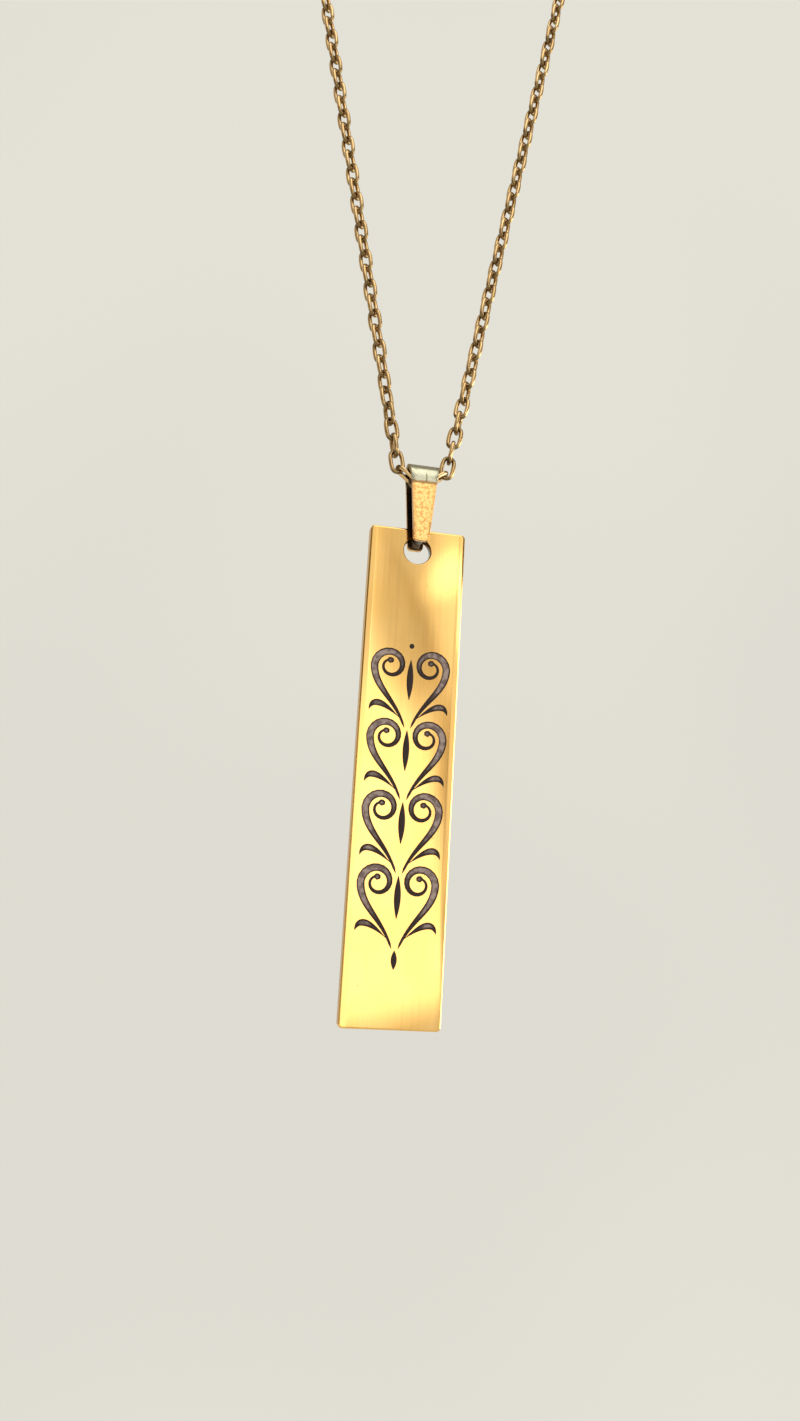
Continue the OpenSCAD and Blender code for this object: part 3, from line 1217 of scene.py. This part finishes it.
    def build(self, side: Side) -> bpy.types.Object:
        """Make one strand and hang it on its body.

        Args:
            side: The strand.

        Returns:
            The strand, all of its links in one mesh.
        """
        name = f"chain_{side.name.lower()}"
        chance = random.Random(self.seed + side.value)
        link = self.link()
        bm = bmesh.new()
        for place in self.places(side):
            first = len(bm.verts)
            bm.from_mesh(link)
            bm.verts.ensure_lookup_table()
            made = bm.verts[first:]
            tone = bm.verts.layers.float["tone"]
            shade = chance.random()
            for vert in made:
                vert[tone] = shade
            bmesh.ops.transform(bm, matrix=place, verts=made)
        shade_smooth(bm)
        strand = make_object(f"{name}_links", bm, AntiqueGold("chain_gold", Vector()).material())
        bpy.data.meshes.remove(link)
        smooth = strand.modifiers.new("round_wire", "SUBSURF")
        smooth.levels = smooth.render_levels = 1
        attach(strand, self.body)
        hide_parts(name)
        return strand


@dataclass
class Clasp:
    """The plain clasp at the nape, whose CAD piece is kept and gets its finish here."""

    node: str = "clasp"

    def dress(self) -> bpy.types.Object:
        """Give the clasp its finish.

        Returns:
            The clasp's own CAD object.
        """
        clasp = frame["nodes"][self.node]
        low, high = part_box(self.node)
        gold = ClaspGold("clasp_gold", (low + high) / 2).material()
        for slot in clasp.material_slots:
            slot.material = gold
        return clasp


@dataclass
class PhotoCamera:
    """A camera at the photograph's viewing angle. Its place is in millimetres from the bar's front."""

    target: Vector
    place: Triple = (-18.8, -102.2, -13.5)
    heading: float = 9.97
    pitch: float = 10.56
    roll: float = -3.41
    lens: float = 26.73
    sensor: float = 36.0
    nearest: float = 0.01

    def build(self) -> bpy.types.Object:
        """Make the camera and choose it for the scene.

        Returns:
            The camera.
        """
        camera = bpy.data.objects.new("photo_camera", bpy.data.cameras.new("photo_camera"))
        bpy.context.scene.collection.objects.link(camera)
        camera.data.lens = self.lens
        camera.data.sensor_width = self.sensor
        camera.data.clip_start = self.nearest
        turns = ((-self.heading, "Z"), (90 + self.pitch, "X"), (-self.roll, "Z"))
        aim = Matrix.Identity(4)
        for angle, axis in turns:
            aim = aim @ Matrix.Rotation(math.radians(angle), 4, axis)
        camera.matrix_world = Matrix.Translation(self.target + Vector(self.place) * MM) @ aim
        bpy.context.scene.camera = camera
        return camera


def emitter(name: str) -> tuple[bpy.types.Material, Graph, bpy.types.NodeSocket]:
    """Make a material that only glows.

    Args:
        name: The material's name.

    Returns:
        The material, its graph and the socket of its colour.
    """
    material = bpy.data.materials.new(name)
    material.use_nodes = True
    graph = Graph(material.node_tree)
    graph.tree.nodes.remove(graph.tree.nodes["Principled BSDF"])
    light = graph.node("ShaderNodeEmission")
    graph.feed(graph.tree.nodes["Material Output"].inputs["Surface"], light.outputs[0])
    return material, graph, light.inputs["Color"]


@dataclass(frozen=True)
class Patch:
    """A soft-edged patch of light on the light card. It fades only at the sides that have a band."""

    strength: float
    left: Band | None = None
    right: Band | None = None
    bottom: Band | None = None
    top: Band | None = None

    def level(self, x: Value, z: Value) -> Value:
        """Return how much light the patch adds at a place on the card."""
        sides = ((x.rise, self.left), (x.fall, self.right), (z.rise, self.bottom), (z.fall, self.top))
        return math.prod((step(*band) for step, band in sides if band), start=self.strength)


@dataclass
class LightCard:
    """The large light card in front of the bar, drawn where the polished bar mirrors it.

    Places on it are in millimetres on the bar as the camera sees them, x across it and z along it, from
    its centre. Past its flat the bar's face rolls off, so a long edge mirrors a stretch of the card beside
    the bar that is many times as wide, by the spread. The pattern allows for that at the right edge.

    The patches are the light at the bar's upper left corner, down the upper right, above the bar for the
    bail, along the whole left edge and its lower part, along the right edge and at the upper end of that
    edge.
    """

    camera: PhotoCamera
    glow: Colour
    distance: float = 0.8
    x: Pair = (-60.0, 60.0)
    z: Pair = (-50.0, 60.0)
    flat_half: float = 4.25
    spread: float = 34.5
    base: float = 0.76
    patches: tuple[Patch, ...] = (
        Patch(0.5, left=(-8.5, -6.0), right=(-5.0, -3.0), bottom=(10.0, 16.0)),
        Patch(0.5, left=(1.2, 3.2), right=(5.0, 8.0), bottom=(-2.0, 8.0)),
        Patch(0.6, bottom=(26.0, 28.0)),
        Patch(0.2, right=(-8.0, -5.0)),
        Patch(0.8, right=(-8.0, -5.0), top=(2.0, 14.0)),
        Patch(0.28, left=(6.0, 12.0), bottom=(-14.0, -9.0)),
        Patch(1.5, left=(14.6, 18.05), bottom=(13.0, 16.0), top=(23.5, 25.5)))
    streak_glow: Colour = (1.0, 0.87, 0.72)
    streak_depth: float = 0.42
    streak_half: float = 1.6
    streak_z: Band = (-12.0, 2.0)
    streak_end: Band = (0.0, 0.3)
    bow_z: float = -1.2
    bow: float = 0.0125
    lean_z: float = -2.0
    lean: float = 0.045
    tighter: float = 0.12
    narrow_z: Band = (14.0, 19.0)
    narrower: float = 0.9
    faint_z: Band = (15.0, 25.0)
    fainter: float = 0.4
    bright: float = 1.2
    bright_tilt: float = 1.4
    bright_top: Band = (2.0, 10.5)
    bright_left: Band = (-8.5, -5.5)
    bright_right: Band = (-1.8, -0.2)
    foot_tilt: float = 0.25
    foot_z: Band = (-25.4, -22.2)
    spot: float = 1.25
    spot_at: Pair = (3.3, 20.6)
    spot_tilt: float = 0.35
    spot_squash: float = 0.45
    spot_reach: float = 6.5
    beyond_x: Band = (22.0, 26.0)
    beyond_z: Band = (20.0, 24.0)

    def mirrored(self, x: float, z: float) -> Vector:
        """The place on the card that the camera sees in the bar.

        Args:
            x: Millimetres across the bar from its centre.
            z: Millimetres along it.

        Returns:
            The place, in metres.
        """
        eye = Vector(self.camera.place) * MM
        reach = self.distance / -eye.y
        point = Vector((x, 0, z)) * MM
        along = Vector((point.x - eye.x, 0, point.z - eye.z)) * reach
        return self.camera.target + point + along + Vector((0, -self.distance, 0))

    def pattern(self, graph: Graph) -> bpy.types.NodeSocket:
        """Draw the card's light: patches, a bright field, a round spot and a darker streak.

        Args:
            graph: The card's graph.

        Returns:
            The colour's socket.
        """
        magnified = 1 + self.distance / (-self.camera.place[1] * MM)
        across, _, along = graph.axes(graph.place(self.mirrored(0, 0), (magnified,) * 3))
        seen = across - (across - self.flat_half).at_least(0.0) * (1 - 1 / self.spread)
        above = (along - self.bow_z).at_least(0.0)
        below = (self.lean_z - along).at_least(0.0)
        end_x = self.flat_half + below * self.lean
        from_streak = (seen - (end_x - above.squared() * self.bow)) * (1.0 + below * self.tighter)
        narrowed = abs(from_streak) * (1.0 + along.rise(*self.narrow_z) * self.narrower)
        streak = narrowed.fall(0.0, self.streak_half) * along.rise(*self.streak_z)
        streak = streak * (1.0 - along.rise(*self.faint_z) * self.fainter)
        streak = streak * (seen - end_x).fall(*self.streak_end)
        bright = (along + seen * self.bright_tilt).fall(*self.bright_top)
        bright = bright * from_streak.fall(*self.bright_right) * across.rise(*self.bright_left)
        bright = bright * (along - seen * self.foot_tilt).rise(*self.foot_z)
        spot_x, spot_z = seen - self.spot_at[0], along - self.spot_at[1]
        spot = (spot_x - spot_z * self.spot_tilt).squared() + spot_z.squared() * self.spot_squash
        beyond = abs(across).rise(*self.beyond_x) * along.rise(*self.beyond_z)
        lights = [patch.level(across, along) for patch in self.patches]
        lights += [bright * self.bright, spot.fall(0.0, self.spot_reach) * self.spot]
        level = sum(lights, self.base) * (1.0 - streak * self.streak_depth) * (1.0 - beyond)
        return graph.scaled(graph.colour(streak, self.glow, self.streak_glow), level)

    def build(self) -> bpy.types.Object:
        """Make the card.

        Returns:
            The card, which the camera doesn't see.
        """
        corners = [self.mirrored(x, z) for x in self.x for z in self.z]
        middle, size = (corners[0] + corners[3]) / 2, corners[3] - corners[0]
        place = Matrix.Translation(middle) @ Matrix.Rotation(QUARTER_TURN, 4, "X")
        bm = bmesh.new()
        bmesh.ops.create_grid(bm, x_segments=1, y_segments=1, size=0.5,
                              matrix=place @ Matrix.Diagonal((size.x, size.z, 1, 1)))
        material, graph, colour = emitter("light_card")
        graph.feed(colour, self.pattern(graph))
        card = make_object("light_card", bm, material)
        card.visible_camera = False
        return card


@dataclass(frozen=True)
class Panel:
    """A soft light that faces the piece.

    Its azimuth is from the front towards the right and its elevation over the horizon, in degrees. Its
    size and distance are in metres. A radiance of 1 is about what white paper has in the sweep's light.
    """

    name: str
    azimuth: float
    elevation: float
    size: Pair
    radiance: float
    distance: float = 0.9

    def build(self, target: Vector, glow: Colour) -> None:
        """Make the light.

        Args:
            target: The place that it faces.
            glow: Its colour.
        """
        light = bpy.data.lights.new(self.name, "AREA")
        light.shape = "RECTANGLE"
        light.size, light.size_y = self.size
        light.energy = self.radiance * HALF_TURN * self.size[0] * self.size[1]
        light.color = glow
        lamp = bpy.data.objects.new(self.name, light)
        bpy.context.scene.collection.objects.link(lamp)
        aside = Matrix.Rotation(math.radians(self.azimuth), 4, "Z")
        raised = Matrix.Rotation(math.radians(-self.elevation), 4, "X")
        away = aside @ raised @ Vector((0, -self.distance, 0))
        facing = away.to_track_quat("Z", "Y").to_matrix().to_4x4()
        lamp.matrix_world = Matrix.Translation(target + away) @ facing
        lamp.visible_camera = False


@dataclass
class Studio:
    """A plain pale sweep and soft light: a dim room, the light card and three panels.

    Sizes are in metres, and bands in the room are shares of its radius.
    """

    camera: PhotoCamera
    half_width: float = 1.6
    floor_y: float = -1.2
    floor_z: float = -0.62
    wall_y: float = 0.62
    wall_h: float = 1.6
    bend_r: float = 0.35
    bend_steps: int = 12
    tint_size: float = 500.0
    tint_band: Band = (0.3, 0.7)
    room_r: float = 3.0
    glow: Colour = (1.0, 0.985, 0.95)
    pale: Colour = (0.775, 0.755, 0.675)
    pale_shade: Colour = (0.735, 0.715, 0.645)
    dim: Colour = (0.16, 0.13, 0.10)
    side: Colour = (0.52, 0.49, 0.44)
    side_x: Band = (-0.4, -0.1)
    side_y: Band = (-0.35, -0.15)
    side_z: Band = (0.3, 0.42)
    back_y: Band = (-0.1, 0.7)
    overhead: Colour = (0.76, 0.76, 0.72)
    overhead_z: Band = (0.15, 0.9)
    overhead_share: float = 0.7
    panels: tuple[Panel, ...] = (
        Panel("right_panel", 88, 0, (1.2, 0.68), 4.2), Panel("left_panel", -60, 0, (0.12, 0.4), 2.0),
        Panel("top_panel", 10, 60, (0.6, 0.7), 1.6))

    def backdrop(self) -> None:
        """Fill the world with the plain pale tone of the sweep."""
        world = bpy.data.worlds.new("pale_backdrop")
        world.use_nodes = True
        world.node_tree.nodes["Background"].inputs["Color"].default_value = (*self.pale, 1)
        bpy.context.scene.world = world

    def sweep(self) -> bpy.types.Object:
        """Make the floor that bends up into a wall.

        Returns:
            The sweep.
        """
        bend_y = self.wall_y - self.bend_r
        bm = bmesh.new()
        ends = [bm.verts.new((x, self.floor_y, self.floor_z)) for x in (-self.half_width, self.half_width)]
        edges = pull(bm, [bm.edges.new(ends)], Vector((0, bend_y - self.floor_y, 0)))
        centre = Vector((0, bend_y, self.floor_z + self.bend_r))
        edges = turn(bm, edges, centre, (1, 0, 0), self.bend_steps, QUARTER_TURN)
        pull(bm, edges, Vector((0, 0, self.wall_h)))
        shade_smooth(bm)
        material, graph, colour = emitter("pale_sweep")
        cloud = graph.noise(graph.place(Vector(), (self.tint_size,) * 3), 1.0, 1.0)
        graph.feed(colour, graph.colour(cloud.rise(*self.tint_band), self.pale_shade, self.pale))
        return make_object("sweep", bm, material)

    def room(self) -> bpy.types.Object:
        """Make the room that the metal mirrors: dim in front, paler above and behind the piece.

        Returns:
            The room, a dome that the camera doesn't see.
        """
        bm = bmesh.new()
        bmesh.ops.create_icosphere(bm, subdivisions=3, radius=self.room_r)
        material, graph, colour = emitter("room")
        right, back, up = graph.axes(graph.place(Vector(), (self.room_r / MM,) * 3))
        lit = right.fall(*self.side_x) * back.fall(*self.side_y) * up.rise(*self.side_z)
        tone = graph.colour(lit, self.dim, self.side)
        tone = graph.colour(back.rise(*self.back_y), tone, self.pale)
        tone = graph.colour(up.rise(*self.overhead_z) * self.overhead_share, tone, self.overhead)
        graph.feed(colour, tone)
        dome = make_object("room", bm, material)
        dome.visible_camera = False
        return dome

    def build(self) -> None:
        """Make the backdrop, the sweep, the card, the room and the panels."""
        self.backdrop()
        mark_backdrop(self.sweep(), LightCard(self.camera, self.glow).build(), self.room())
        for panel in self.panels:
            panel.build(self.camera.target, self.glow)
        bpy.context.scene.view_settings.view_transform = "Standard"


def write_size() -> None:
    """Work out the CAD box and the visual model's box as plain lists, which are not kept.
    """
    boxes = {"cad": CAD_BOUNDS, "visual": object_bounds()}
    {name: [list(corner) for corner in box] for name, box in boxes.items()}


def main() -> None:
    """Build the necklace's pieces in order, then the camera and the studio."""
    logging.basicConfig(level=logging.INFO, format="%(name)s: %(message)s")
    nameplate = Nameplate()
    chain = Chain()
    pieces = [nameplate.build(), Bail().build(), *(chain.build(side) for side in Side), Clasp().dress()]
    for piece in pieces:
        LOG.info("%s: %d faces", piece.name, len(piece.data.polygons))
    camera = PhotoCamera(nameplate.front)
    camera.build()
    Studio(camera).build()
    write_size()


if __name__ == "__main__":
    main()
